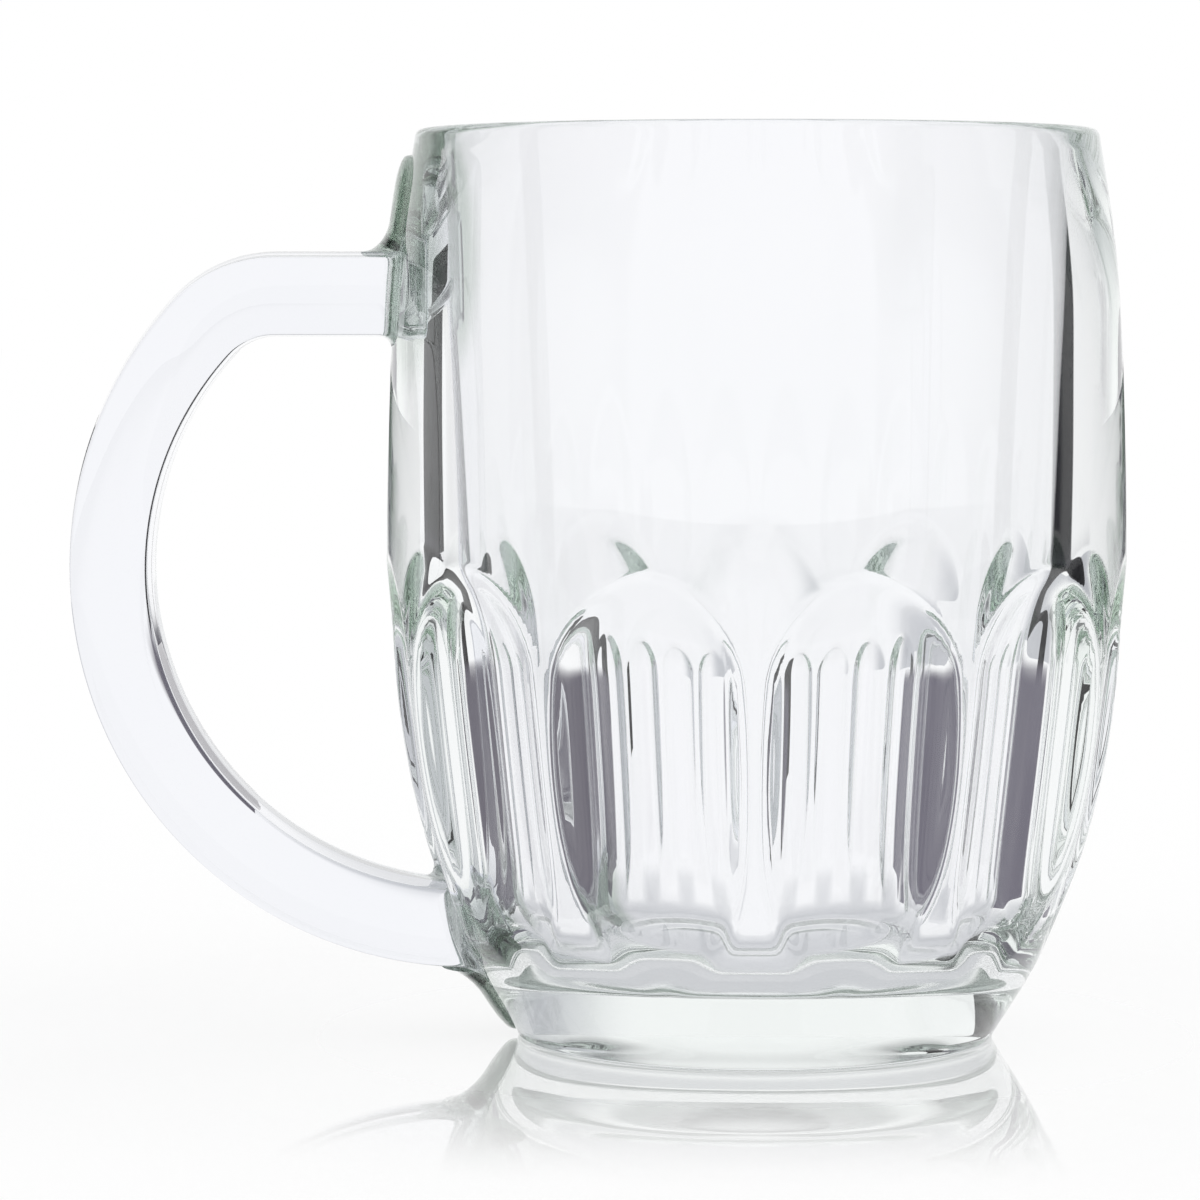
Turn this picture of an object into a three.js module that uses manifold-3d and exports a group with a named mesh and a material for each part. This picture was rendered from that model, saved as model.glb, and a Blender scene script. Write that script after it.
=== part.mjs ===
// Thick pressed-glass beer mug: a barrel-shaped body with round-topped flutes around its
// lower half, and a bowed bar handle that is fused on through two glass pads.
// Millimetres, +Z up. The origin is on the body's axis, at the table that the foot stands on.
// The handle points along -X.

import * as THREE from 'three';
import { mergeVertices } from 'three/addons/utils/BufferGeometryUtils.js';
import Module from 'manifold-3d';

const wasm = await Module();
wasm.setup();

// Body, outside
const MUG_HEIGHT = 132;
const FOOT_RADIUS = 34.3;
const FOOT_HEIGHT = 11.6;
const FOOT_TOP_RADIUS = 41.3;
const HAUNCH_HEIGHT = 27.3;
const HAUNCH_RADIUS = 48.8;
const WAIST_HEIGHT = 47;
const WAIST_RADIUS = 53;
const BELLY_HEIGHT = 68;
const BELLY_RADIUS = 53.75;
const SHOULDER_DROP = 24;
const SHOULDER_RADIUS = 52.5;
const RIM_RADIUS = 49.5;
const LIP_ROUND = 1.3;

// Body, inside and underneath
const MOUTH_RADIUS = 46;
const NECK_DROP = 34;
const NECK_RADIUS = 44.4;
const WELL_HEIGHT = 56;
const WELL_RADIUS = 42.4;
const HEEL_RADIUS = 38.8;
const HEEL_FILLET = 12.5;
const FLOOR_THICKNESS = 12.5;
const STANDING_RING_WIDTH = 4;
const FOOT_EDGE = 0.8;
const PUNT_DEPTH = 2;

// Flutes
const FLUTE_COUNT = 11;
const FLUTE_TURN_DEGREES = -1.9;
const FLUTE_ROUND = 17.5;
const FLUTE_WALL = 5.2;
const FLUTE_LEAN = 0.125;
const FLUTE_BOTTOM = 13;
const ARCH_SPRING = 56;
const ARCH_RISE = 16;
const ARCH_SQUEEZE = 0.87;
const ARCH_POWER = 1.8;
const RIDGE_SOFTNESS = 0.9;
const ARCH_SOFTNESS = 2;

// Handle
const BAR_THICKNESS = 12.3;
const BAR_WIDTH = 17;
const BAR_ROUND = 1.4;
const BAR_DRAFT = 0.6;
const BAR_DROP = 23.8;
const BAR_LOW_HEIGHT = 16.2;
const FINGER_GAP = 33.9;
const HANDLE_BOW = 6.2;
const UPPER_BEND = 14.5;

// Pads that fuse the handle to the body
const PAD_WIDTH = 15;
const PAD_THICKNESS = 1.8;
const PAD_ROUND = 1.2;
const PAD_FLARE = 5.4;
const TONGUE_TIP = 5;
const FLARE_HEIGHT = 4.5;
const UPPER_PAD_DROP = 3.6;
const LOWER_PAD_CLEARANCE = 0.8;

// Fused joints are kept apart by this seam
const SEAM = 0.3;
// How far a piece starts inside its neighbour before it is cut back to the seam
const OVERRUN = 6;

// Fineness of the facets
const COLUMNS_PER_FLUTE = 10;
const FOOT_ROWS = 4;
const FLUTE_ROWS = 11;
const ARCH_ROWS = 7;
const UPPER_ROWS = 6;
const INNER_ROWS = 7;
const ROUND_STEPS = 3;
const FLOOR_STEPS = 4;
const BAR_STEPS = 40;
const BAR_CORNER_STEPS = 3;
const PAD_STEPS = 6;
const PAD_ROUND_STEPS = 2;

const HALF = 0.5;
const MERGE_TOLERANCE = 1e-4;
const BISECTIONS = 40;

// Height-to-radius lookup along a smooth curve that rises all the way.
function radiusAlong(points) {
  const curve = new THREE.SplineCurve(points);
  const lowest = points[0].y;
  const highest = points[points.length - 1].y;
  return (height) => {
    const target = THREE.MathUtils.clamp(height, lowest, highest);
    let below = 0;
    let above = 1;
    for (let i = 0; i < BISECTIONS; i += 1) {
      const middle = (below + above) * HALF;
      if (curve.getPoint(middle).y < target) below = middle;
      else above = middle;
    }
    return curve.getPoint(above).x;
  };
}

const lipHeight = MUG_HEIGHT - LIP_ROUND;

const outsideRadius = radiusAlong([
  new THREE.Vector2(FOOT_RADIUS, 0),
  new THREE.Vector2(FOOT_TOP_RADIUS, FOOT_HEIGHT),
  new THREE.Vector2(HAUNCH_RADIUS, HAUNCH_HEIGHT),
  new THREE.Vector2(WAIST_RADIUS, WAIST_HEIGHT),
  new THREE.Vector2(BELLY_RADIUS, BELLY_HEIGHT),
  new THREE.Vector2(SHOULDER_RADIUS, MUG_HEIGHT - SHOULDER_DROP),
  new THREE.Vector2(RIM_RADIUS, lipHeight),
]);

const heelHeight = FLOOR_THICKNESS + HEEL_FILLET;

const insideRadius = radiusAlong([
  new THREE.Vector2(HEEL_RADIUS, heelHeight),
  new THREE.Vector2(WELL_RADIUS, WELL_HEIGHT),
  new THREE.Vector2(NECK_RADIUS, MUG_HEIGHT - NECK_DROP),
  new THREE.Vector2(MOUTH_RADIUS, lipHeight),
]);

const fluteTurn = THREE.MathUtils.degToRad(FLUTE_TURN_DEGREES);

// Zero below, the value itself above, and a smooth bend within the softness.
function softened(value, softness) {
  if (Math.abs(value) >= softness) return Math.max(0, value);
  return (value + softness) ** 2 / (4 * softness);
}

// Depth of the flutes at an angle round the axis and a height: round scoops on a straight,
// leaning line that leaves an even wall. An arch closes them at the top, and at the bottom
// they run out where the body narrows.
function fluteDepth(angle, height) {
  const radius = outsideRadius(height);
  const pitch = (2 * Math.PI) / FLUTE_COUNT;
  const fromBack = angle - Math.PI * HALF - fluteTurn;
  const aside = Math.abs(fromBack - pitch * Math.round(fromBack / pitch)) * radius;
  const above = Math.max(0, height - ARCH_SPRING) * ARCH_SQUEEZE;
  const out = (aside ** ARCH_POWER + above ** ARCH_POWER) ** (1 / ARCH_POWER);
  const bottom = WELL_RADIUS + FLUTE_WALL - FLUTE_LEAN * (WELL_HEIGHT - height);
  const arcHeight = Math.sqrt(Math.max(0, FLUTE_ROUND ** 2 - out ** 2));
  const softness = THREE.MathUtils.lerp(RIDGE_SOFTNESS, ARCH_SOFTNESS, Math.min(1, above / ARCH_RISE));
  return softened(radius - bottom + arcHeight - FLUTE_ROUND, softness);
}

function steps(from, to, count) {
  return Array.from({ length: count }, (_, i) => from + ((to - from) * i) / count);
}

// Heights of the rings of points up the outside, closer together where the flutes end.
function outsideHeights(lowest) {
  return [
    ...steps(lowest, FLUTE_BOTTOM, FOOT_ROWS),
    ...steps(FLUTE_BOTTOM, ARCH_SPRING, FLUTE_ROWS),
    ...steps(ARCH_SPRING, ARCH_SPRING + ARCH_RISE, ARCH_ROWS),
    ...steps(ARCH_SPRING + ARCH_RISE, lipHeight, UPPER_ROWS),
    lipHeight,
  ];
}

function arcPoints(x, y, radius, start, end, clockwise, count) {
  const path = new THREE.Path();
  path.absarc(x, y, radius, start, end, clockwise);
  return path.getSpacedPoints(count);
}

// Keeps positions only, joins equal points and drops the flat triangles left at the axis.
function closed(geometry) {
  geometry.deleteAttribute('normal');
  geometry.deleteAttribute('uv');
  const merged = mergeVertices(geometry, MERGE_TOLERANCE);
  const index = merged.getIndex().array;
  const kept = [];
  for (let i = 0; i < index.length; i += 3) {
    const [a, b, c] = index.slice(i, i + 3);
    if (a !== b && b !== c && c !== a) kept.push(a, b, c);
  }
  merged.setIndex(kept);
  return merged;
}

// Turns a profile (x = radius, y = height) about the Z axis and presses the flutes into the
// profile points from firstOutside to lastOutside.
function turned(profile, firstOutside, lastOutside) {
  const columns = FLUTE_COUNT * COLUMNS_PER_FLUTE;
  const geometry = new THREE.LatheGeometry(profile, columns);
  geometry.rotateX(Math.PI * HALF);
  geometry.rotateZ(fluteTurn);
  const position = geometry.getAttribute('position');
  for (let i = 0; i < position.count; i += 1) {
    const row = i % profile.length;
    if (row >= firstOutside && row <= lastOutside) {
      const x = position.getX(i);
      const y = position.getY(i);
      const radius = Math.hypot(x, y);
      const pressed = 1 - fluteDepth(Math.atan2(y, x), position.getZ(i)) / radius;
      position.setXY(i, x * pressed, y * pressed);
    }
  }
  return closed(geometry);
}

function bodyGeometry() {
  const ringOuter = FOOT_RADIUS - FOOT_EDGE;
  const underside = [
    new THREE.Vector2(0, PUNT_DEPTH),
    new THREE.Vector2((ringOuter - STANDING_RING_WIDTH) * HALF, PUNT_DEPTH),
    new THREE.Vector2(ringOuter - STANDING_RING_WIDTH, 0),
    new THREE.Vector2(ringOuter, 0),
  ];
  const outside = outsideHeights(FOOT_EDGE).map((z) => new THREE.Vector2(outsideRadius(z), z));
  const lipOuter = arcPoints(
    RIM_RADIUS - LIP_ROUND, lipHeight, LIP_ROUND, 0, Math.PI * HALF, false, ROUND_STEPS,
  ).slice(1);
  const lipInner = arcPoints(
    MOUTH_RADIUS + LIP_ROUND, lipHeight, LIP_ROUND, Math.PI * HALF, Math.PI, false, ROUND_STEPS,
  );
  const inside = steps(lipHeight, heelHeight, INNER_ROWS).slice(1)
    .map((z) => new THREE.Vector2(insideRadius(z), z));
  const heel = arcPoints(
    HEEL_RADIUS - HEEL_FILLET, heelHeight, HEEL_FILLET, 0, -Math.PI * HALF, true, FLOOR_STEPS,
  );
  const floorCentre = new THREE.Vector2(0, FLOOR_THICKNESS);
  const profile = [...underside, ...outside, ...lipOuter, ...lipInner, ...inside, ...heel, floorCentre];
  const first = underside.length;
  return turned(profile, first, first + outside.length - 1);
}

// The body's outer surface as a solid, larger all round by the seam.
function bodyBlank() {
  const side = outsideHeights(0).map((z) => new THREE.Vector2(outsideRadius(z) + SEAM, z));
  const below = new THREE.Vector2(FOOT_RADIUS + SEAM, -OVERRUN);
  const above = new THREE.Vector2(RIM_RADIUS + SEAM, MUG_HEIGHT + OVERRUN);
  const profile = [
    new THREE.Vector2(0, below.y), below, ...side, above, new THREE.Vector2(0, above.y),
  ];
  return turned(profile, 2, side.length + 1);
}

function solid(geometry) {
  const vertProperties = Float32Array.from(geometry.getAttribute('position').array);
  const triVerts = Uint32Array.from(geometry.getIndex().array);
  return new wasm.Manifold(new wasm.Mesh({ numProp: 3, vertProperties, triVerts }));
}

function geometryOf(manifold) {
  const mesh = manifold.getMesh();
  const geometry = new THREE.BufferGeometry();
  geometry.setAttribute('position', new THREE.BufferAttribute(mesh.vertProperties, mesh.numProp));
  geometry.setIndex(new THREE.BufferAttribute(mesh.triVerts, 1));
  return geometry;
}

const barTop = MUG_HEIGHT - BAR_DROP;
const reach = BELLY_RADIUS + FINGER_GAP + BAR_THICKNESS * HALF;

// Middle line of the handle, from inside the upper wall, round the bow, to inside the foot.
function handleLine() {
  const bow = (barTop - BAR_LOW_HEIGHT) * HALF + HANDLE_BOW;
  const bowX = bow - reach;
  const bowZ = BAR_LOW_HEIGHT + bow;
  const bendZ = barTop - UPPER_BEND;
  const bendX = bowX - Math.sqrt((bow - UPPER_BEND) ** 2 - (bendZ - bowZ) ** 2);
  const meet = Math.atan2(bendZ - bowZ, bendX - bowX);
  const upperEnd = OVERRUN - outsideRadius(barTop);
  const lowerEnd = OVERRUN - outsideRadius(BAR_LOW_HEIGHT - BAR_THICKNESS * HALF);
  const path = new THREE.Path();
  path.moveTo(upperEnd, barTop);
  path.lineTo(bendX, barTop);
  path.absarc(bendX, bendZ, UPPER_BEND, Math.PI * HALF, meet, false);
  path.absarc(bowX, bowZ, bow, meet, Math.PI * (1 + HALF), false);
  path.lineTo(lowerEnd, BAR_LOW_HEIGHT);
  const points = path.getSpacedPoints(BAR_STEPS).map((p) => new THREE.Vector3(p.x, 0, p.y));
  return new THREE.CatmullRomCurve3(points);
}

// Section of the bar, thickness along x and width along y, grown all round. Its two narrow sides
// slope out to a parting line in the middle, and its corners are rounded.
function barSection(grow) {
  const side = BAR_THICKNESS * HALF + grow;
  const x = side - BAR_DRAFT;
  const y = BAR_WIDTH * HALF + grow;
  const r = BAR_ROUND + grow;
  const section = new THREE.Shape();
  section.moveTo(side, 0);
  section.absarc(x - r, y - r, r, 0, Math.PI * HALF, false);
  section.absarc(r - x, y - r, r, Math.PI * HALF, Math.PI, false);
  section.lineTo(-side, 0);
  section.absarc(r - x, r - y, r, Math.PI, Math.PI * (1 + HALF), false);
  section.absarc(x - r, r - y, r, -Math.PI * HALF, 0, false);
  return section;
}

function barGeometry(grow) {
  return closed(new THREE.ExtrudeGeometry(barSection(grow), {
    extrudePath: handleLine(),
    steps: BAR_STEPS,
    curveSegments: BAR_CORNER_STEPS,
  }));
}

// Side outline (x = distance from the axis, y = height) made into a pad across the handle's
// plane, with its edges rounded.
function padGeometry(outline) {
  const geometry = new THREE.ExtrudeGeometry(outline, {
    depth: PAD_WIDTH - 2 * PAD_ROUND,
    bevelThickness: PAD_ROUND,
    bevelSize: PAD_ROUND,
    bevelOffset: -PAD_ROUND,
    bevelSegments: PAD_ROUND_STEPS,
    curveSegments: PAD_STEPS,
  });
  geometry.translate(0, 0, PAD_ROUND - PAD_WIDTH * HALF);
  geometry.applyMatrix4(new THREE.Matrix4().makeBasis(
    new THREE.Vector3(-1, 0, 0),
    new THREE.Vector3(0, 0, 1),
    new THREE.Vector3(0, 1, 0),
  ));
  return closed(geometry);
}

// Outline of a pad that runs along the wall from the handle bar's face to a rounded tip, and
// flares out along the bar. The heights may go up or down.
function padOutline(barFace, tip) {
  const away = Math.sign(tip - barFace);
  const flareEnd = barFace + away * FLARE_HEIGHT;
  const shoulder = tip - away * 2 * PAD_THICKNESS;
  const inBar = barFace - away * OVERRUN * HALF;
  const outline = new THREE.Shape();
  outline.moveTo(outsideRadius(inBar) - OVERRUN, inBar);
  outline.lineTo(outsideRadius(barFace) + PAD_FLARE, inBar);
  outline.lineTo(outsideRadius(barFace) + PAD_FLARE, barFace);
  outline.quadraticCurveTo(
    outsideRadius(barFace) + PAD_THICKNESS, barFace,
    outsideRadius(flareEnd) + PAD_THICKNESS, flareEnd,
  );
  outline.lineTo(outsideRadius(shoulder) + PAD_THICKNESS, shoulder);
  outline.quadraticCurveTo(
    outsideRadius(tip) + PAD_THICKNESS, tip,
    outsideRadius(tip), tip,
  );
  outline.lineTo(outsideRadius(tip) - OVERRUN, tip);
  outline.closePath();
  return outline;
}

// The same pad seen along the handle's plane: a tongue with a round tip, as deep as the mug.
function tongueGeometry(barFace, tip) {
  const away = Math.sign(tip - barFace);
  const side = PAD_WIDTH * HALF;
  const inBar = barFace - away * OVERRUN;
  const tongue = new THREE.Shape();
  tongue.moveTo(-side, inBar);
  tongue.lineTo(-side, tip - away * TONGUE_TIP);
  tongue.absellipse(0, tip - away * TONGUE_TIP, side, TONGUE_TIP, Math.PI, 0, away > 0);
  tongue.lineTo(side, inBar);
  tongue.closePath();
  const geometry = new THREE.ExtrudeGeometry(tongue, {
    depth: reach,
    bevelEnabled: false,
    curveSegments: PAD_STEPS,
  });
  geometry.applyMatrix4(new THREE.Matrix4().makeBasis(
    new THREE.Vector3(0, 1, 0),
    new THREE.Vector3(0, 0, 1),
    new THREE.Vector3(1, 0, 0),
  ));
  geometry.translate(-reach, 0, 0);
  return closed(geometry);
}

const blank = solid(bodyBlank());
const barSpace = solid(barGeometry(SEAM));

function pad(barFace, tip) {
  const slab = solid(padGeometry(padOutline(barFace, tip)));
  const whole = slab.intersect(solid(tongueGeometry(barFace, tip)));
  return geometryOf(whole.subtract(blank).subtract(barSpace));
}

const GLASS = { color: 0xeef4f2, roughness: 0.03, metalness: 0, transparent: true, opacity: 0.35 };

const mug = new THREE.Group();

function place(name, geometry) {
  const mesh = new THREE.Mesh(geometry, new THREE.MeshStandardMaterial(GLASS));
  mesh.name = name;
  mug.add(mesh);
}

place('mug_body', bodyGeometry());
place('handle_bar', geometryOf(solid(barGeometry(0)).subtract(blank)));
place('upper_handle_pad', pad(barTop + BAR_THICKNESS * HALF, MUG_HEIGHT - UPPER_PAD_DROP));
place('lower_handle_pad', pad(BAR_LOW_HEIGHT - BAR_THICKNESS * HALF, LOWER_PAD_CLEARANCE));

export default mug;
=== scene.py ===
"""A thick pressed-glass beer mug on a white, glossy studio table.

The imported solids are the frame: each glass piece here stands where its solid stands, with a finer
surface. Metres, +Z up, the origin on the mug's axis at the table. The handle points along -X.
"""

import bisect
import math

import bmesh
import bpy
from mathutils import Matrix, Vector


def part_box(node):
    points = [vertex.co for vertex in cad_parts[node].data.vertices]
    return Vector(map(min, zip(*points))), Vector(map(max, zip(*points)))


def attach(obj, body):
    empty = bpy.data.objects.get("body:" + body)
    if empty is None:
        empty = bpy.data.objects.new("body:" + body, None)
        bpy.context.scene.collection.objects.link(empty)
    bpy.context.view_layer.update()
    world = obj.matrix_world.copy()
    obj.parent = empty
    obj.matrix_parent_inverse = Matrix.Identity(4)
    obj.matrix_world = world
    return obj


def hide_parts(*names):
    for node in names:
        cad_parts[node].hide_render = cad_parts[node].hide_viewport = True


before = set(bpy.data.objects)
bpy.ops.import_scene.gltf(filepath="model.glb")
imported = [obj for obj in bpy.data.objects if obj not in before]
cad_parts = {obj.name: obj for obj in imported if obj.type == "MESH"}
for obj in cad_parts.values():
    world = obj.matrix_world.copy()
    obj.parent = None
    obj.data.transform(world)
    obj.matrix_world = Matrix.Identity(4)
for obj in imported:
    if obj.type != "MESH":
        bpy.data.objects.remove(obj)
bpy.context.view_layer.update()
body_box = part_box("mug_body")
bar_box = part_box("handle_bar")

# Body, outside
MUG_HEIGHT = body_box[1].z
FOOT_RADIUS = 0.0343
FOOT_HEIGHT = 0.0116
FOOT_TOP_RADIUS = 0.0413
HAUNCH_HEIGHT = 0.0273
HAUNCH_RADIUS = 0.0488
WAIST_HEIGHT = 0.047
WAIST_RADIUS = 0.053
BELLY_HEIGHT = 0.068
BELLY_RADIUS = body_box[1].x
SHOULDER_DROP = 0.024
SHOULDER_RADIUS = 0.0525
RIM_RADIUS = 0.0495
LIP_ROUND = 0.0013

# Body, inside and underneath
MOUTH_RADIUS = 0.046
NECK_DROP = 0.034
NECK_RADIUS = 0.0444
WELL_HEIGHT = 0.056
WELL_RADIUS = 0.0424
HEEL_RADIUS = 0.0388
HEEL_FILLET = 0.0125
FLOOR_THICKNESS = 0.0125
STANDING_RING_WIDTH = 0.004
FOOT_EDGE = 0.0008
PUNT_DEPTH = 0.002

# Flutes
FLUTE_COUNT = 11
FLUTE_TURN = math.radians(-1.9)
FLUTE_ROUND = 0.0175
FLUTE_WALL = 0.0052
FLUTE_LEAN = 0.125
FLUTE_BOTTOM = 0.013
ARCH_SPRING = 0.056
ARCH_RISE = 0.016
ARCH_SQUEEZE = 0.87
ARCH_POWER = 1.8
RIDGE_SOFTNESS = 0.0009
ARCH_SOFTNESS = 0.002

# Handle
BAR_WIDTH = bar_box[1].y - bar_box[0].y
BAR_THICKNESS = 0.0123
BAR_ROUND = 0.0006
BAR_CROWN = 0.0006
CROWN_POWER = 4
INNER_DRAFT = 0.0009
OUTER_DRAFT = 0.0003
BAR_DROP = 0.0238
BAR_LOW_HEIGHT = 0.0162
BAR_REACH = -bar_box[0].x - BAR_THICKNESS / 2
HANDLE_BOW = 0.0062
UPPER_BEND = 0.0145
UPPER_FILLET = 0.002
LOWER_FILLET = 0.003
FILLET_CORE = 0.0025
SEATING_TURN = math.radians(40)

# Pads that fuse the handle to the body
PAD_WIDTH = 0.015
PAD_THICKNESS = 0.0018
PAD_FLARE = 0.0054
FLARE_HEIGHT = 0.0045
TONGUE_TIP = 0.005
UPPER_PAD_DROP = 0.0036
LOWER_PAD_CLEARANCE = 0.0008

# Fused glass overlaps by this much, so that no film of air shows in the joint
FUSED = 0.00004

# Fineness of the meshes
COLUMNS_PER_FLUTE = 36
BAR_CORNER_STEPS = 5
BAR_FACE_CUTS = 15
BAR_EDGE_CUTS = 4
BAR_STRAIGHT_STEPS = 22
BAR_BEND_STEPS = 18
BAR_BOW_STEPS = 110
BAR_CAP_RINGS = 6
PAD_COLUMNS = 28
PAD_ROWS = 48
BISECTIONS = 30
LOOKUP_STEPS = 1200
SHARP_ANGLE = math.radians(50)
MERGE_DISTANCE = 1e-7
TURN_SLACK = 1e-4


def spline_point(points, share):
    """Point at a share of the way along a smooth curve through the points."""
    place = (len(points) - 1) * share
    i = min(int(place), len(points) - 2)
    t = place - i
    a, b, c, d = (Vector(points[max(0, min(k, len(points) - 1))]) for k in range(i - 1, i + 3))
    u, v = (c - a) / 2, (d - b) / 2
    return (2 * b - 2 * c + u + v) * t**3 + (3 * c - 3 * b - 2 * u - v) * t**2 + u * t + b


def radius_along(points):
    """Height-to-radius lookup along a smooth curve that rises all the way."""
    curve = [spline_point(points, i / LOOKUP_STEPS) for i in range(LOOKUP_STEPS + 1)]
    heights = [p.y for p in curve]

    def radius(height):
        i = min(max(bisect.bisect(heights, height), 1), LOOKUP_STEPS)
        low, high = curve[i - 1], curve[i]
        share = min(max((height - low.y) / (high.y - low.y), 0.0), 1.0)
        return low.x + (high.x - low.x) * share

    return radius


lip_height = MUG_HEIGHT - LIP_ROUND
heel_height = FLOOR_THICKNESS + HEEL_FILLET

outside_radius = radius_along([
    (FOOT_RADIUS, 0.0),
    (FOOT_TOP_RADIUS, FOOT_HEIGHT),
    (HAUNCH_RADIUS, HAUNCH_HEIGHT),
    (WAIST_RADIUS, WAIST_HEIGHT),
    (BELLY_RADIUS, BELLY_HEIGHT),
    (SHOULDER_RADIUS, MUG_HEIGHT - SHOULDER_DROP),
    (RIM_RADIUS, lip_height),
])

inside_radius = radius_along([
    (HEEL_RADIUS, heel_height),
    (WELL_RADIUS, WELL_HEIGHT),
    (NECK_RADIUS, MUG_HEIGHT - NECK_DROP),
    (MOUTH_RADIUS, lip_height),
])


def softened(value, softness):
    """Zero below, the value itself above, and a smooth bend within the softness."""
    if value <= -softness:
        return 0.0
    if value >= softness:
        return value
    return (value + softness) ** 2 / (4 * softness)


def flute_depth(angle, height, radius):
    """Depth of the flutes: round scoops on a leaning line, closed by an arch at the top."""
    pitch = 2 * math.pi / FLUTE_COUNT
    aside = abs((angle - math.pi / 2 - FLUTE_TURN + pitch / 2) % pitch - pitch / 2) * radius
    above = max(0.0, height - ARCH_SPRING) * ARCH_SQUEEZE
    out = (aside**ARCH_POWER + above**ARCH_POWER) ** (1 / ARCH_POWER)
    bottom = WELL_RADIUS + FLUTE_WALL - FLUTE_LEAN * (WELL_HEIGHT - height)
    arc_height = math.sqrt(max(0.0, FLUTE_ROUND**2 - out**2))
    softness = RIDGE_SOFTNESS + (ARCH_SOFTNESS - RIDGE_SOFTNESS) * min(1.0, above / ARCH_RISE)
    return softened(radius - bottom + arc_height - FLUTE_ROUND, softness)


def wall_radius(angle, height):
    """Radius of the finished outer wall, flutes included."""
    radius = outside_radius(height)
    return radius - flute_depth(angle, height, radius)


def steps(first, last, count):
    """Evenly spaced values from the first up to, but not including, the last."""
    return [first + (last - first) * i / count for i in range(count)]


def arc(centre, radius, start, end, count):
    """Points on an arc (radius from the axis, height), both ends included."""
    return [
        (centre[0] + radius * math.cos(a), centre[1] + radius * math.sin(a))
        for a in steps(start, end, count) + [end]
    ]


# Rows of points up the outside: (where the stretch starts, how many rows it has)
BELOW_FLUTES = 0.005
FLUTE_RUNOUT = 0.009
ABOVE_ARCHES = 0.002
OUTSIDE_STRETCHES = [
    (FOOT_EDGE, 6),
    (FLUTE_BOTTOM - BELOW_FLUTES, 30),
    (FLUTE_BOTTOM + FLUTE_RUNOUT, 26),
    (ARCH_SPRING, 14),
    (ARCH_SPRING + ARCH_RISE / 2, 28),
    (ARCH_SPRING + ARCH_RISE + ABOVE_ARCHES, 34),
]
INSIDE_ROWS = 40
ROUND_STEPS = 5
HEEL_STEPS = 12
FLOOR_STEPS = 6
UNDERSIDE_STEPS = 10


def underside():
    """Points under the foot: a shallow hollow, then the flat ring that stands on the table."""
    ring = FOOT_RADIUS - FOOT_EDGE
    hollow = ring - STANDING_RING_WIDTH
    rise = [
        (hollow * t, PUNT_DEPTH * (1 + math.cos(math.pi * t)) / 2)
        for t in steps(0.0, 1.0, UNDERSIDE_STEPS)
    ]
    return rise + [(hollow, 0.0), ((hollow + ring) / 2, 0.0)]


def outside():
    """Points from the standing ring up the outside to the start of the lip."""
    ends = [start for start, _ in OUTSIDE_STRETCHES[1:]] + [lip_height]
    heights = []
    for (start, count), end in zip(OUTSIDE_STRETCHES, ends):
        heights += steps(start, end, count)
    toe = FOOT_RADIUS - FOOT_EDGE
    edge_end = outside_radius(FOOT_EDGE)
    edge = [
        (toe + (edge_end - toe) * math.sin(a), FOOT_EDGE * (1 - math.cos(a)))
        for a in steps(0.0, math.pi / 2, ROUND_STEPS)
    ]
    return edge + [(outside_radius(z), z) for z in heights]


def lip_and_well():
    """Points over the lip, down the inside wall, round the heel and along the floor to the axis."""
    outer = (RIM_RADIUS - LIP_ROUND, lip_height)
    inner = (MOUTH_RADIUS + LIP_ROUND, lip_height)
    lip = arc(outer, LIP_ROUND, 0.0, math.pi / 2, ROUND_STEPS)
    lip += arc(inner, LIP_ROUND, math.pi / 2, math.pi, ROUND_STEPS)
    wall = [(inside_radius(z), z) for z in steps(lip_height, heel_height, INSIDE_ROWS)[1:]]
    heel_centre = HEEL_RADIUS - HEEL_FILLET
    heel = arc((heel_centre, heel_height), HEEL_FILLET, 0.0, -math.pi / 2, HEEL_STEPS)
    floor = [(r, FLOOR_THICKNESS) for r in steps(heel_centre, 0.0, FLOOR_STEPS)[1:]]
    return lip + wall + heel + floor + [(0.0, FLOOR_THICKNESS)]


def body_mesh():
    """The vessel: its profile spun round the axis, then the flutes pressed into the outside."""
    bm = bmesh.new()
    pressed = bm.verts.layers.int.new("pressed")
    line = []
    for points, is_outside in ((underside(), 0), (outside(), 1), (lip_and_well(), 0)):
        for radius, height in points:
            vert = bm.verts.new((radius, 0.0, height))
            vert[pressed] = is_outside
            line.append(vert)
    edges = [bm.edges.new(pair) for pair in zip(line, line[1:])]
    bmesh.ops.spin(
        bm, geom=line + edges, cent=(0, 0, 0), axis=(0, 0, 1), angle=2 * math.pi,
        steps=FLUTE_COUNT * COLUMNS_PER_FLUTE, use_merge=True,
    )
    bmesh.ops.remove_doubles(bm, verts=bm.verts, dist=MERGE_DISTANCE)
    for vert in bm.verts:
        if vert[pressed]:
            radius = math.hypot(vert.co.x, vert.co.y)
            depth = flute_depth(math.atan2(vert.co.y, vert.co.x), vert.co.z, radius)
            vert.co.xy *= 1 - depth / radius
    bm.verts.layers.int.remove(pressed)
    return bm


bar_top = MUG_HEIGHT - BAR_DROP
bow = (bar_top - BAR_LOW_HEIGHT) / 2 + HANDLE_BOW
bow_centre = Vector((bow - BAR_REACH, 0, BAR_LOW_HEIGHT + bow))
bend_height = bar_top - UPPER_BEND
bend_offset = math.sqrt((bow - UPPER_BEND) ** 2 - (bend_height - bow_centre.z) ** 2)
bend_centre = Vector((bow_centre.x - bend_offset, 0, bend_height))
meet_turn = math.atan2(bend_centre.z - bow_centre.z, bend_centre.x - bow_centre.x)


def fillet(distance, radius):
    """How far a round fillet stands out from a bar at a distance from the wall that it meets."""
    short = max(0.0, 1 - distance / radius)
    return radius * (1 - math.sqrt(max(0.0, 1 - short**2)))


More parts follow.
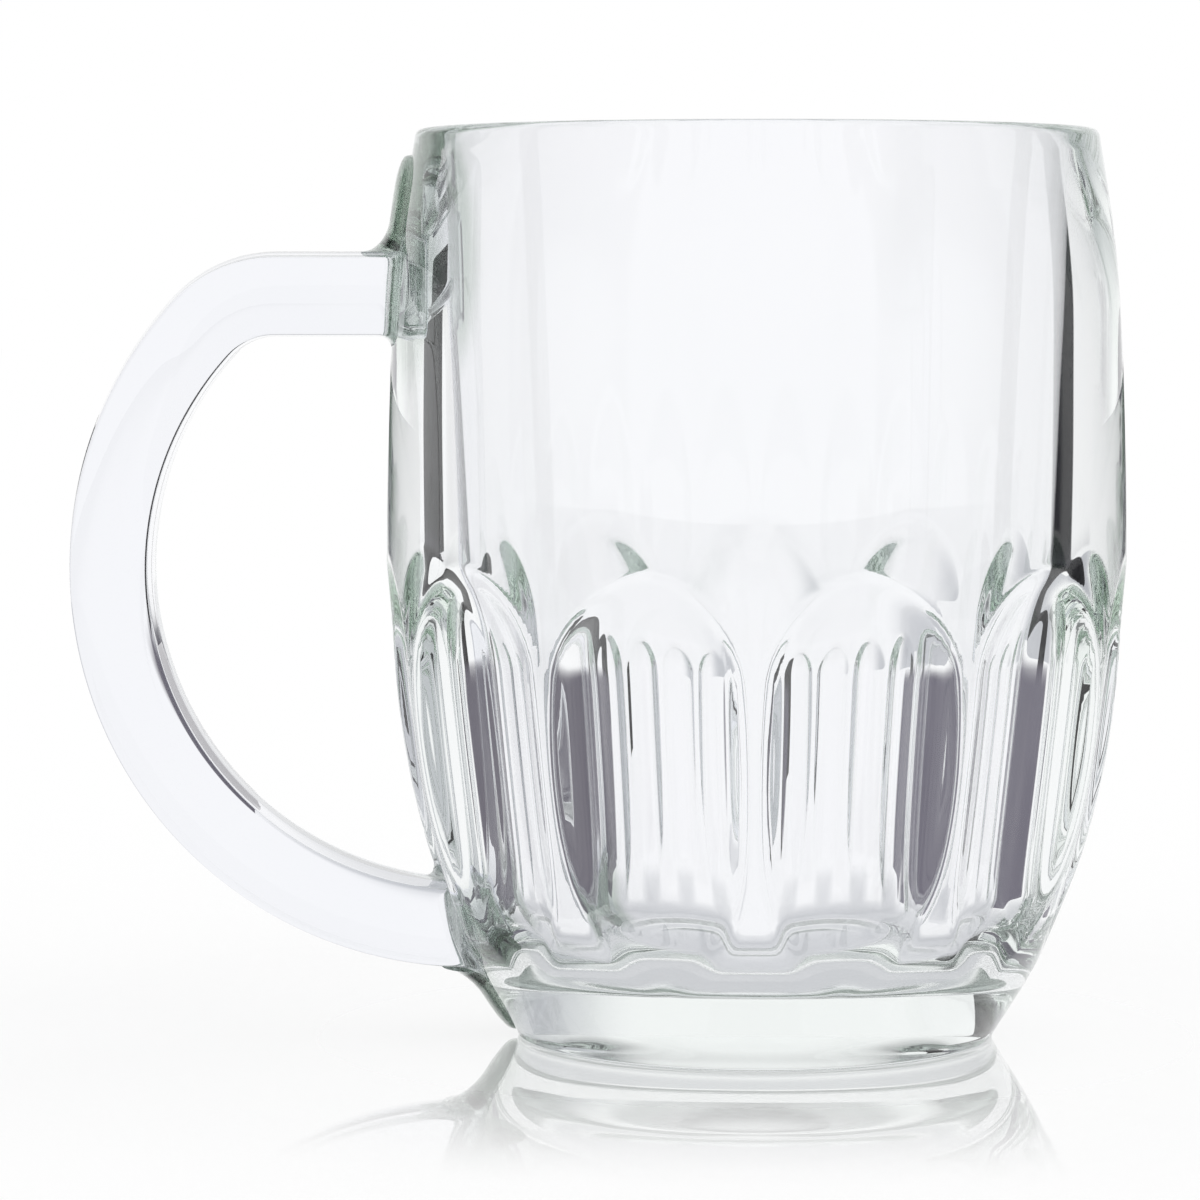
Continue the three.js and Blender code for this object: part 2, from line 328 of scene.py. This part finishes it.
def gathered(share):
    """A share of the way to the wall, with the steps closer together near the wall."""
    return 1 - (1 - share) ** 2


def swollen(across, through, grow):
    """A point of the bar's section (width, thickness) moved outwards, unless it is deep inside."""
    core = Vector((
        min(max(across, FILLET_CORE - BAR_WIDTH / 2), BAR_WIDTH / 2 - FILLET_CORE),
        min(max(through, FILLET_CORE - BAR_THICKNESS / 2), BAR_THICKNESS / 2 - FILLET_CORE),
    ))
    out = Vector((across, through)) - core
    moved = core + out * (1 + grow / FILLET_CORE)
    return moved.x, moved.y


def reaches_wall(point):
    """True where a point of the handle lies deeper in the body's wall than the fused overlap."""
    angle = math.atan2(point.y, point.x)
    return math.hypot(point.x, point.y) < wall_radius(angle, point.z) - FUSED


def wall_crossing(path, start, end):
    """Where along a path, from outside to inside, the wall is crossed."""
    for _ in range(BISECTIONS):
        middle = (start + end) / 2
        if reaches_wall(path(middle)):
            end = middle
        else:
            start = middle
    return end


def seat_upper_run(vert, run_start):
    """Slides a point of the upper straight run along X, so that its last ring lies on the wall."""
    share = gathered((vert.co.x - bend_centre.x) / (run_start - bend_centre.x))
    to_wall = (1 - share) * (run_start - bend_centre.x)
    y, z = swollen(vert.co.y, vert.co.z - bar_top, fillet(to_wall, UPPER_FILLET))
    crossing = wall_crossing(lambda x: Vector((x, y, bar_top + z)), bend_centre.x, -NECK_RADIUS)
    vert.co = (bend_centre.x + share * (crossing - bend_centre.x), y, bar_top + z)


def seat_lower_run(vert, first_turn, last_turn):
    """Slides a point of the bow's last stretch along its own arc, onto the wall."""
    arm = vert.co - bow_centre
    reach = math.hypot(arm.x, arm.z)
    turn = math.atan2(arm.z, arm.x) % (2 * math.pi)
    share = gathered((turn - first_turn) / (last_turn - first_turn))
    to_wall = (1 - share) * (last_turn - first_turn) * bow
    y, through = swollen(vert.co.y, reach - bow, fillet(to_wall, LOWER_FILLET))

    def on_arc(a):
        outwards = Vector((math.cos(a), 0, math.sin(a)))
        return bow_centre + outwards * (bow + through) + Vector((0, y, 0))

    crossing = wall_crossing(on_arc, first_turn, last_turn + SEATING_TURN)
    vert.co = on_arc(first_turn + share * (crossing - first_turn))


def bar_section(bm, start):
    """The bar's section as a ring of edges, square to X at the start of the upper run.

    Its inner and outer sides slope out to a parting line in the middle. Its front and back faces
    are crowned: they fall away towards their edges.
    """
    bmesh.ops.create_grid(bm, x_segments=1, y_segments=1, size=0.5)
    bmesh.ops.scale(bm, vec=(BAR_THICKNESS, BAR_WIDTH, 1), verts=bm.verts)
    bmesh.ops.delete(bm, geom=bm.faces[:], context="FACES_ONLY")
    sides = [e for e in bm.edges if abs(e.verts[0].co.x - e.verts[1].co.x) < BAR_ROUND]
    bmesh.ops.subdivide_edges(bm, edges=sides, cuts=1)
    corners = [v for v in bm.verts if abs(v.co.y) > BAR_ROUND]
    for vert in corners:
        vert.co.x += INNER_DRAFT if vert.co.x < 0 else -OUTER_DRAFT
    bmesh.ops.bevel(
        bm, geom=corners, offset=BAR_ROUND, offset_type="OFFSET", affect="VERTICES",
        segments=BAR_CORNER_STEPS, profile=0.5, material=-1,
    )
    flats = [e for e in bm.edges if e.calc_length() > BAR_ROUND]
    faces = [e for e in flats if abs(e.verts[0].co.y - e.verts[1].co.y) < BAR_ROUND]
    edges = [e for e in flats if e not in faces]
    bmesh.ops.subdivide_edges(bm, edges=faces, cuts=BAR_FACE_CUTS)
    bmesh.ops.subdivide_edges(bm, edges=edges, cuts=BAR_EDGE_CUTS)
    for vert in bm.verts:
        off_middle = 2 * vert.co.x / BAR_THICKNESS
        vert.co.y *= 1 - 2 * BAR_CROWN / BAR_WIDTH * off_middle**CROWN_POWER
    stand = Matrix.Translation((start, 0, bar_top)) @ Matrix.Rotation(math.pi / 2, 4, "Y")
    bmesh.ops.transform(bm, matrix=stand, verts=bm.verts)
    return bm.verts[:] + bm.edges[:]


def close_end(bm, ring):
    """Closes an open end of the bar with rings that shrink towards its middle."""
    verts = {v for e in ring for v in e.verts}
    middle = sum((v.co for v in verts), Vector()) / len(verts)
    for count in range(BAR_CAP_RINGS, 1, -1):
        grown = bmesh.ops.extrude_edge_only(bm, edges=ring)["geom"]
        ring = [e for e in grown if isinstance(e, bmesh.types.BMEdge) and e.is_boundary]
        verts = list({v for e in ring for v in e.verts})
        shrink = Vector((1, 1, 1)) * (count - 1) / count
        bmesh.ops.scale(bm, vec=shrink, space=Matrix.Translation(-middle), verts=verts)
    bmesh.ops.holes_fill(bm, edges=ring, sides=0)


def bar_mesh():
    """The bowed bar: its section run straight, round the upper bend and round the bow."""
    bm = bmesh.new()
    run_start = -outside_radius(bar_top)
    last_turn = math.pi * 1.5
    first_turn = last_turn - SEATING_TURN
    ring = bar_section(bm, run_start)
    stride = Vector(((bend_centre.x - run_start) / BAR_STRAIGHT_STEPS, 0, 0))
    ring = bmesh.ops.spin(bm, geom=ring, dvec=stride, steps=BAR_STRAIGHT_STEPS)["geom_last"]
    ring = bmesh.ops.spin(
        bm, geom=ring, cent=bend_centre, axis=(0, -1, 0), angle=meet_turn - math.pi / 2,
        steps=BAR_BEND_STEPS,
    )["geom_last"]
    bmesh.ops.spin(
        bm, geom=ring, cent=bow_centre, axis=(0, -1, 0), angle=last_turn - meet_turn,
        steps=BAR_BOW_STEPS,
    )
    bmesh.ops.remove_doubles(bm, verts=bm.verts, dist=MERGE_DISTANCE)
    open_edges = [e for e in bm.edges if e.is_boundary]
    close_end(bm, [e for e in open_edges if e.verts[0].co.z > bow_centre.z])
    close_end(bm, [e for e in open_edges if e.verts[0].co.z < bow_centre.z])
    for vert in bm.verts:
        turn = math.atan2(vert.co.z - bow_centre.z, vert.co.x - bow_centre.x) % (2 * math.pi)
        if vert.co.x >= bend_centre.x and vert.co.z > bow_centre.z:
            seat_upper_run(vert, run_start)
        elif first_turn < turn <= last_turn + TURN_SLACK:
            seat_lower_run(vert, first_turn, last_turn)
    return bm


def tongue_mesh(bar_face, tip):
    """A pad: a tongue on the wall from the bar's face to a round tip, flared out along the bar."""
    bm = bmesh.new()
    bmesh.ops.create_grid(bm, x_segments=PAD_COLUMNS, y_segments=PAD_ROWS, size=1.0)
    raised = bmesh.ops.extrude_face_region(bm, geom=bm.faces[:])["geom"]
    raised = {v for v in raised if isinstance(v, bmesh.types.BMVert)}
    length = abs(tip - bar_face)
    for vert in bm.verts:
        across, along = vert.co.x, (vert.co.y + 1) / 2
        height = bar_face + (tip - bar_face) * along
        past_shoulder = max(0.0, along * length - (length - TONGUE_TIP)) / TONGUE_TIP
        round_tip = math.sqrt(max(0.0, 1 - past_shoulder**2))
        flare = (PAD_FLARE - PAD_THICKNESS) * fillet(along * length, FLARE_HEIGHT) / FLARE_HEIGHT
        crown = math.sqrt(max(0.0, 1 - across**2)) * round_tip**0.5
        proud = (PAD_THICKNESS + flare) * crown if vert in raised else -FUSED
        y = across * PAD_WIDTH / 2 * round_tip
        angle = math.pi - y / outside_radius(height)
        radius = wall_radius(angle, height) + proud
        vert.co = (radius * math.cos(angle), radius * math.sin(angle), height)
    bmesh.ops.remove_doubles(bm, verts=bm.verts, dist=MERGE_DISTANCE)
    return bm


class Socket:
    """A node's output. Python arithmetic on it adds Math nodes to the same tree."""

    def __init__(self, tree, output):
        self.tree = tree
        self.output = output

    def maths(self, operation, a, b):
        return self.tree.add("ShaderNodeMath", {"operation": operation}, {0: a, 1: b})

    def __add__(self, other):
        return self.maths("ADD", self, other)

    def __radd__(self, other):
        return self.maths("ADD", other, self)

    def __sub__(self, other):
        return self.maths("SUBTRACT", self, other)

    def __rsub__(self, other):
        return self.maths("SUBTRACT", other, self)

    def __mul__(self, other):
        return self.maths("MULTIPLY", self, other)

    def __rmul__(self, other):
        return self.maths("MULTIPLY", other, self)


class Tree:
    """A node tree that starts empty. add() makes a node and gives one of its outputs."""

    def __init__(self, owner):
        owner.use_nodes = True
        self.tree = owner.node_tree
        self.tree.nodes.clear()

    def add(self, kind, settings=None, inputs=None, output=0):
        node = self.tree.nodes.new(kind)
        for name, value in (settings or {}).items():
            setattr(node, name, value)
        for name, value in (inputs or {}).items():
            if isinstance(value, Socket):
                self.tree.links.new(value.output, node.inputs[name])
            else:
                node.inputs[name].default_value = value
        return Socket(self, node.outputs[output]) if node.outputs else None

    def along(self, axis, vector):
        """One coordinate of a place or direction."""
        return self.add("ShaderNodeSeparateXYZ", inputs={"Vector": vector}, output=axis)

    def ramp(self, value, start, end, shape="SMOOTHSTEP"):
        """Zero up to the start, one from the end on, and a smooth rise between them."""
        return self.add(
            "ShaderNodeMapRange", {"interpolation_type": shape},
            {"Value": value, "From Min": start, "From Max": end},
        )

    def blend(self, factor, first, second):
        """Colour between the first, at a factor of zero, and the second, at one."""
        return self.add(
            "ShaderNodeMix", {"data_type": "RGBA"},
            {"Factor": factor, "A": first, "B": second}, output="Result",
        )

    def glow(self, colour):
        """Surface of an even colour that takes no light."""
        return self.add("ShaderNodeEmission", inputs={"Color": colour, "Strength": 1.0})

    def either(self, factor, first, second):
        """Surface between the first, at a factor of zero, and the second, at one."""
        return self.add("ShaderNodeMixShader", inputs={0: factor, 1: first, 2: second})


# Middles of the joints on the body's wall, and the heights where the pads leave the bar
JOINTS = [(-0.053, 0, 0.111), (-0.0415, 0, 0.011)]
JOINT_NEAR = 0.012
JOINT_FAR = 0.02
UPPER_FACE = bar_top + BAR_THICKNESS / 2
LOWER_FACE = BAR_LOW_HEIGHT - BAR_THICKNESS / 2
BEFORE_PAD = 0.0005
INTO_PAD = 0.001
PAD_STARTS = [
    (UPPER_FACE - BEFORE_PAD, UPPER_FACE + INTO_PAD),
    (LOWER_FACE + BEFORE_PAD, LOWER_FACE - INTO_PAD),
]

# Glass
GLASS_IOR = 1.52
GLASS_TINT = (0.72, 0.84, 0.74, 1)
GLASS_TINT_DENSITY = 3.5
BODY_CLEAR = (0.985, 0.985, 0.998, 1)
BODY_CORDED = (0.97, 0.973, 0.99, 1)
# Painted shade: darker green base colour where the handle joins the body
BODY_JOINT_PAINTED_SHADE = (0.55, 0.61, 0.56, 1)
BODY_WAVE_SIZE = 0.03
HANDLE_CLEAR = (0.95, 0.95, 0.985, 1)
HANDLE_CORDED = (0.92, 0.925, 0.97, 1)
# Painted shade: darker green base colour on the handle's pads
HANDLE_PAD_PAINTED_SHADE = (0.5, 0.56, 0.51, 1)
HANDLE_WAVE_SIZE = 0.02
WAVE_DEPTH = 0.00002
WAVE_DETAIL = 1.0
CORD_SCALE = 45.0
CORD_DETAIL = 2.0
SCUFF_SCALE = 900.0
SCUFF_DETAIL = 4.0
WEAR_HEIGHT = 0.002
WORN_ROUGHNESS = 0.3


def near_joint(tree, place):
    """Painted shade mask: one where the handle joins the body's wall, fading to zero around it."""
    distances = [
        tree.add(
            "ShaderNodeVectorMath", {"operation": "DISTANCE"}, {0: place, 1: joint},
            output="Value",
        )
        for joint in JOINTS
    ]
    return sum(tree.ramp(distance, JOINT_FAR, JOINT_NEAR) for distance in distances)


def past_bar(tree, place):
    """Painted shade mask: one on the pads, above and below the bar's two ends, and zero on the bar.
    """
    height = tree.along("Z", place)
    return sum(tree.ramp(height, start, end, "LINEAR") for start, end in PAD_STARTS)


def noise(tree, place, scale, detail):
    """Uneven values from zero to one."""
    return tree.add(
        "ShaderNodeTexNoise", inputs={"Vector": place, "Scale": scale, "Detail": detail},
    )


def glass(name, clear, corded, painted_shade, painted_shade_mask, wave_size):
    """Pressed glass: cords of denser glass, painted green shade at joints, polished ripple, worn
    foot.
    """
    material = bpy.data.materials.new(name)
    tree = Tree(material)
    place = tree.add("ShaderNodeTexCoord", output="Object")
    cords = noise(tree, place, CORD_SCALE, CORD_DETAIL)
    ripple = noise(tree, place, 1 / wave_size, WAVE_DETAIL)
    scuffs = noise(tree, place, SCUFF_SCALE, SCUFF_DETAIL)
    worn = tree.ramp(tree.along("Z", place), WEAR_HEIGHT, 0.0)
    colour = tree.blend(cords, clear, corded)
    # Painted shade: the colour turns a darker green where the mask is one
    colour = tree.blend(painted_shade_mask(tree, place), colour, painted_shade)
    normal = tree.add(
        "ShaderNodeBump", inputs={"Height": ripple, "Strength": 1.0, "Distance": WAVE_DEPTH},
        output="Normal",
    )
    surface = tree.add("ShaderNodeBsdfPrincipled", inputs={
        "Base Color": colour,
        "Roughness": worn * scuffs * WORN_ROUGHNESS,
        "IOR": GLASS_IOR,
        "Transmission Weight": 1.0,
        "Normal": normal,
    })
    volume = tree.add(
        "ShaderNodeVolumeAbsorption", inputs={"Color": GLASS_TINT, "Density": GLASS_TINT_DENSITY},
    )
    tree.add("ShaderNodeOutputMaterial", inputs={"Surface": surface, "Volume": volume})
    return material


def piece(name, bm, material, node):
    """Makes a finished mesh a piece that rides on the mug and stands for its solid."""
    bmesh.ops.recalc_face_normals(bm, faces=bm.faces)
    mesh = bpy.data.meshes.new(name)
    bm.to_mesh(mesh)
    bm.free()
    mesh.shade_smooth()
    mesh.set_sharp_from_angle(angle=SHARP_ANGLE)
    mesh.materials.append(material)
    made = bpy.data.objects.new(name, mesh)
    bpy.context.scene.collection.objects.link(made)
    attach(made, "root")
    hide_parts(node)


body_glass = glass(
    "fluted body glass", BODY_CLEAR, BODY_CORDED, BODY_JOINT_PAINTED_SHADE, near_joint, BODY_WAVE_SIZE,
)
handle_glass = glass(
    "handle glass", HANDLE_CLEAR, HANDLE_CORDED, HANDLE_PAD_PAINTED_SHADE, past_bar, HANDLE_WAVE_SIZE,
)
piece("fluted_body", body_mesh(), body_glass, "mug_body")
piece("bowed_bar", bar_mesh(), handle_glass, "handle_bar")
piece(
    "upper_tongue", tongue_mesh(UPPER_FACE - FUSED, MUG_HEIGHT - UPPER_PAD_DROP),
    handle_glass, "upper_handle_pad",
)
piece(
    "lower_tongue", tongue_mesh(LOWER_FACE + FUSED, LOWER_PAD_CLEARANCE),
    handle_glass, "lower_handle_pad",
)

# Table
TABLE_SIZE = 12.0
TABLE_WHITE = (1.0, 1.0, 1.0, 1)
# Grey of the painted shadow around the foot, seen only through the glass
FOOT_PAINTED_SHADOW_GREY = (0.63, 0.64, 0.66, 1)
SHADOW_STRENGTH = 0.4
MIRROR_STRENGTH = 0.6
MIRROR_NEAR = 0.05
MIRROR_FAR = 0.125
SIDE_NEAR = 0.1
SIDE_FAR = 0.5
MIRRORED_GREY = (0.08, 0.08, 0.085, 1)


def stage_plane(name, matrix, material):
    """A flat sheet of the studio, one metre square before its matrix places it."""
    bm = bmesh.new()
    bmesh.ops.create_grid(bm, x_segments=1, y_segments=1, size=0.5, matrix=matrix)
    mesh = bpy.data.meshes.new(name)
    bm.to_mesh(mesh)
    bm.free()
    mesh.materials.append(material)
    made = bpy.data.objects.new(name, mesh)
    bpy.context.scene.collection.objects.link(made)
    return made


def table_top():
    """White table with a faint shadow and a sheen that mirrors the mug and fades out around it.

    Seen through the glass it is plain white, with a painted grey shadow close to the foot. Mirrored
    in the glass it darkens towards both sides.
    """
    material = bpy.data.materials.new("white table")
    tree = Tree(material)
    place = tree.add("ShaderNodeTexCoord", output="Object")
    distance = tree.add(
        "ShaderNodeVectorMath", {"operation": "LENGTH"}, {"Vector": place}, output="Value",
    )
    near = tree.ramp(distance, MIRROR_FAR, MIRROR_NEAR)
    matt = tree.add("ShaderNodeBsdfDiffuse", inputs={"Color": TABLE_WHITE})
    mirror = tree.add("ShaderNodeBsdfGlossy", inputs={"Color": TABLE_WHITE, "Roughness": 0.0})
    white = tree.either(SHADOW_STRENGTH, tree.glow(TABLE_WHITE), matt)
    seen = tree.either(near * MIRROR_STRENGTH, white, mirror)
    sideways = tree.along("X", place)
    either_side = tree.ramp(sideways * sideways, SIDE_NEAR**2, SIDE_FAR**2)
    mirrored = tree.add("ShaderNodeLightPath", output="Is Glossy Ray")
    seen = tree.either(either_side * mirrored, seen, tree.glow(MIRRORED_GREY))
    # Painted shadow: through the glass, the table glows grey close to the foot
    white_with_painted_shadow = tree.glow(tree.blend(near, TABLE_WHITE, FOOT_PAINTED_SHADOW_GREY))
    through_glass = tree.add("ShaderNodeLightPath", output="Is Transmission Ray")
    surface = tree.either(through_glass, seen, white_with_painted_shadow)
    tree.add("ShaderNodeOutputMaterial", inputs={"Surface": surface})
    stage_plane("table_top", Matrix.Scale(TABLE_SIZE, 4), material)


# Dark cards that draw the edges of the glass. Each stands between two turns, in degrees from
# straight behind the mug, and leans from its lower edge's distance to its upper edge's. It fades
# out at its top and its two ends.
TALL = 0.5
LOW = 0.056
LOWEST = 0.05
NEAR = 0.103
LEANING = 0.125
MIDDLE = 0.17
FAR = 0.42
SHARP_FADE = 0.003
SOFT_FADE = 0.014
CARDS = [
    ("right_black_card", 63, 76, MIDDLE, MIDDLE, TALL, SHARP_FADE, (0.012, 0.012, 0.014, 1)),
    ("right_grey_card", 49, 128, NEAR, LEANING, LOW, SOFT_FADE, (0.15, 0.14, 0.18, 1)),
    ("left_dark_card", -52, -37.5, FAR, FAR, TALL, SHARP_FADE, (0.02, 0.018, 0.018, 1)),
    ("left_low_card", -56, -41, MIDDLE, MIDDLE, LOWEST, SOFT_FADE, (0.13, 0.12, 0.15, 1)),
    ("left_grey_card", -128, -47, NEAR, LEANING, LOW, SOFT_FADE, (0.13, 0.12, 0.15, 1)),
]


def card_material(name, turn, width, height, fade, shade):
    """Dark in the middle of a card, and clear at its top and its two ends."""
    material = bpy.data.materials.new(name)
    tree = Tree(material)
    place = tree.add("ShaderNodeTexCoord", output="Object")
    across = tree.along("X", place) * math.cos(turn) - tree.along("Y", place) * math.sin(turn)
    between_ends = tree.ramp(across * across, (width / 2) ** 2, (width / 2 - fade) ** 2)
    below_top = tree.ramp(tree.along("Z", place), height, height - fade)
    clear = tree.add("ShaderNodeBsdfTransparent")
    surface = tree.either(below_top * between_ends, clear, tree.glow(shade))
    tree.add("ShaderNodeOutputMaterial", inputs={"Surface": surface})
    return material


def dark_cards():
    """Cards beside and behind the mug that only the glass sees."""
    for name, first, last, foot, top, height, fade, shade in CARDS:
        turn = math.radians(first + last) / 2
        middle = (foot + top) / 2
        lean = top - foot
        width = 2 * middle * math.tan(math.radians(last - first) / 2)
        stand = (
            Matrix.Rotation(-turn, 4, "Z")
            @ Matrix.Translation((0, middle, height / 2))
            @ Matrix.Rotation(math.atan2(height, lean), 4, "X")
            @ Matrix.Diagonal((width, math.hypot(height, lean), 1, 1))
        )
        material = card_material(name, turn, width, height, fade, shade)
        card = stage_plane(name, stand, material)
        card.visible_camera = False
        card.visible_diffuse = False
        card.visible_glossy = False
        card.visible_shadow = False


# Studio around the mug. Each pair says where a shade starts and where it is full, as a share of a
# direction, and for MIRRORED_SIDES as that share squared.
SKY_GREY = (0.16, 0.165, 0.17, 1)
SIDE_GREY = (0.56, 0.57, 0.60, 1)
FRONT_GREY = (0.60, 0.61, 0.63, 1)
STUDIO_WHITE = (1, 1, 1, 1)
BESIDE = (0.3, 0.7)
IN_FRONT = (0.0, -0.8)
OVERHEAD = (0.45, 0.9)
MIRRORED_SIDES = (0.3, 0.55)


def studio_world():
    """White all round for the camera and the table.

    Through the glass it is dim overhead, on the right and in front. What the glass mirrors is dark
    on both sides.
    """
    world = bpy.data.worlds.new("white studio")
    tree = Tree(world)
    direction = tree.add("ShaderNodeTexCoord", output="Generated")
    sideways = tree.along("X", direction)
    in_front = tree.ramp(tree.along("Y", direction), *IN_FRONT)
    level = tree.blend(tree.ramp(sideways, *BESIDE), STUDIO_WHITE, SIDE_GREY)
    level = tree.blend(in_front, level, FRONT_GREY)
    level = tree.blend(tree.ramp(tree.along("Z", direction), *OVERHEAD), level, SKY_GREY)
    either_side = tree.ramp(sideways * sideways, *MIRRORED_SIDES)
    mirrored = tree.add("ShaderNodeLightPath", output="Is Glossy Ray")
    white = tree.blend(either_side * mirrored * (1 - in_front), STUDIO_WHITE, MIRRORED_GREY)
    through_glass = tree.add("ShaderNodeLightPath", output="Is Transmission Ray")
    colour = tree.blend(through_glass, white, level)
    sky = tree.add("ShaderNodeBackground", inputs={"Color": colour, "Strength": 1.0})
    tree.add("ShaderNodeOutputWorld", inputs={"Surface": sky})
    bpy.context.scene.world = world


# Camera, fitted to the rim and foot ellipses of the 1200 pixel photograph
PHOTO_SIZE = 1200
PHOTO_FOCAL = 4830
AXIS_PIXEL = 756
HORIZON_PIXEL = 272
FOOT_PIXEL = 1038
METRES_PER_PIXEL = 0.1454e-3
SENSOR_WIDTH = 36

# Bounces of light
GLASS_BOUNCES = 48
MIRROR_BOUNCES = 32


def camera():
    """Camera at the photograph's height, distance and tilt."""
    lens = bpy.data.cameras.new("camera")
    lens.sensor_width = SENSOR_WIDTH
    lens.lens = SENSOR_WIDTH * PHOTO_FOCAL / PHOTO_SIZE
    made = bpy.data.objects.new("camera", lens)
    bpy.context.scene.collection.objects.link(made)
    made.location = (
        (PHOTO_SIZE / 2 - AXIS_PIXEL) * METRES_PER_PIXEL,
        -PHOTO_FOCAL * METRES_PER_PIXEL,
        (FOOT_PIXEL - HORIZON_PIXEL) * METRES_PER_PIXEL,
    )
    tilt = math.atan((PHOTO_SIZE / 2 - HORIZON_PIXEL) / PHOTO_FOCAL)
    made.rotation_euler = (math.pi / 2 - tilt, 0, 0)
    bpy.context.scene.camera = made


table_top()
dark_cards()
studio_world()
camera()

scene = bpy.context.scene
scene.view_settings.view_transform = "Standard"
scene.cycles.max_bounces = GLASS_BOUNCES
scene.cycles.transmission_bounces = GLASS_BOUNCES
scene.cycles.glossy_bounces = MIRROR_BOUNCES
scene.cycles.blur_glossy = 0.0
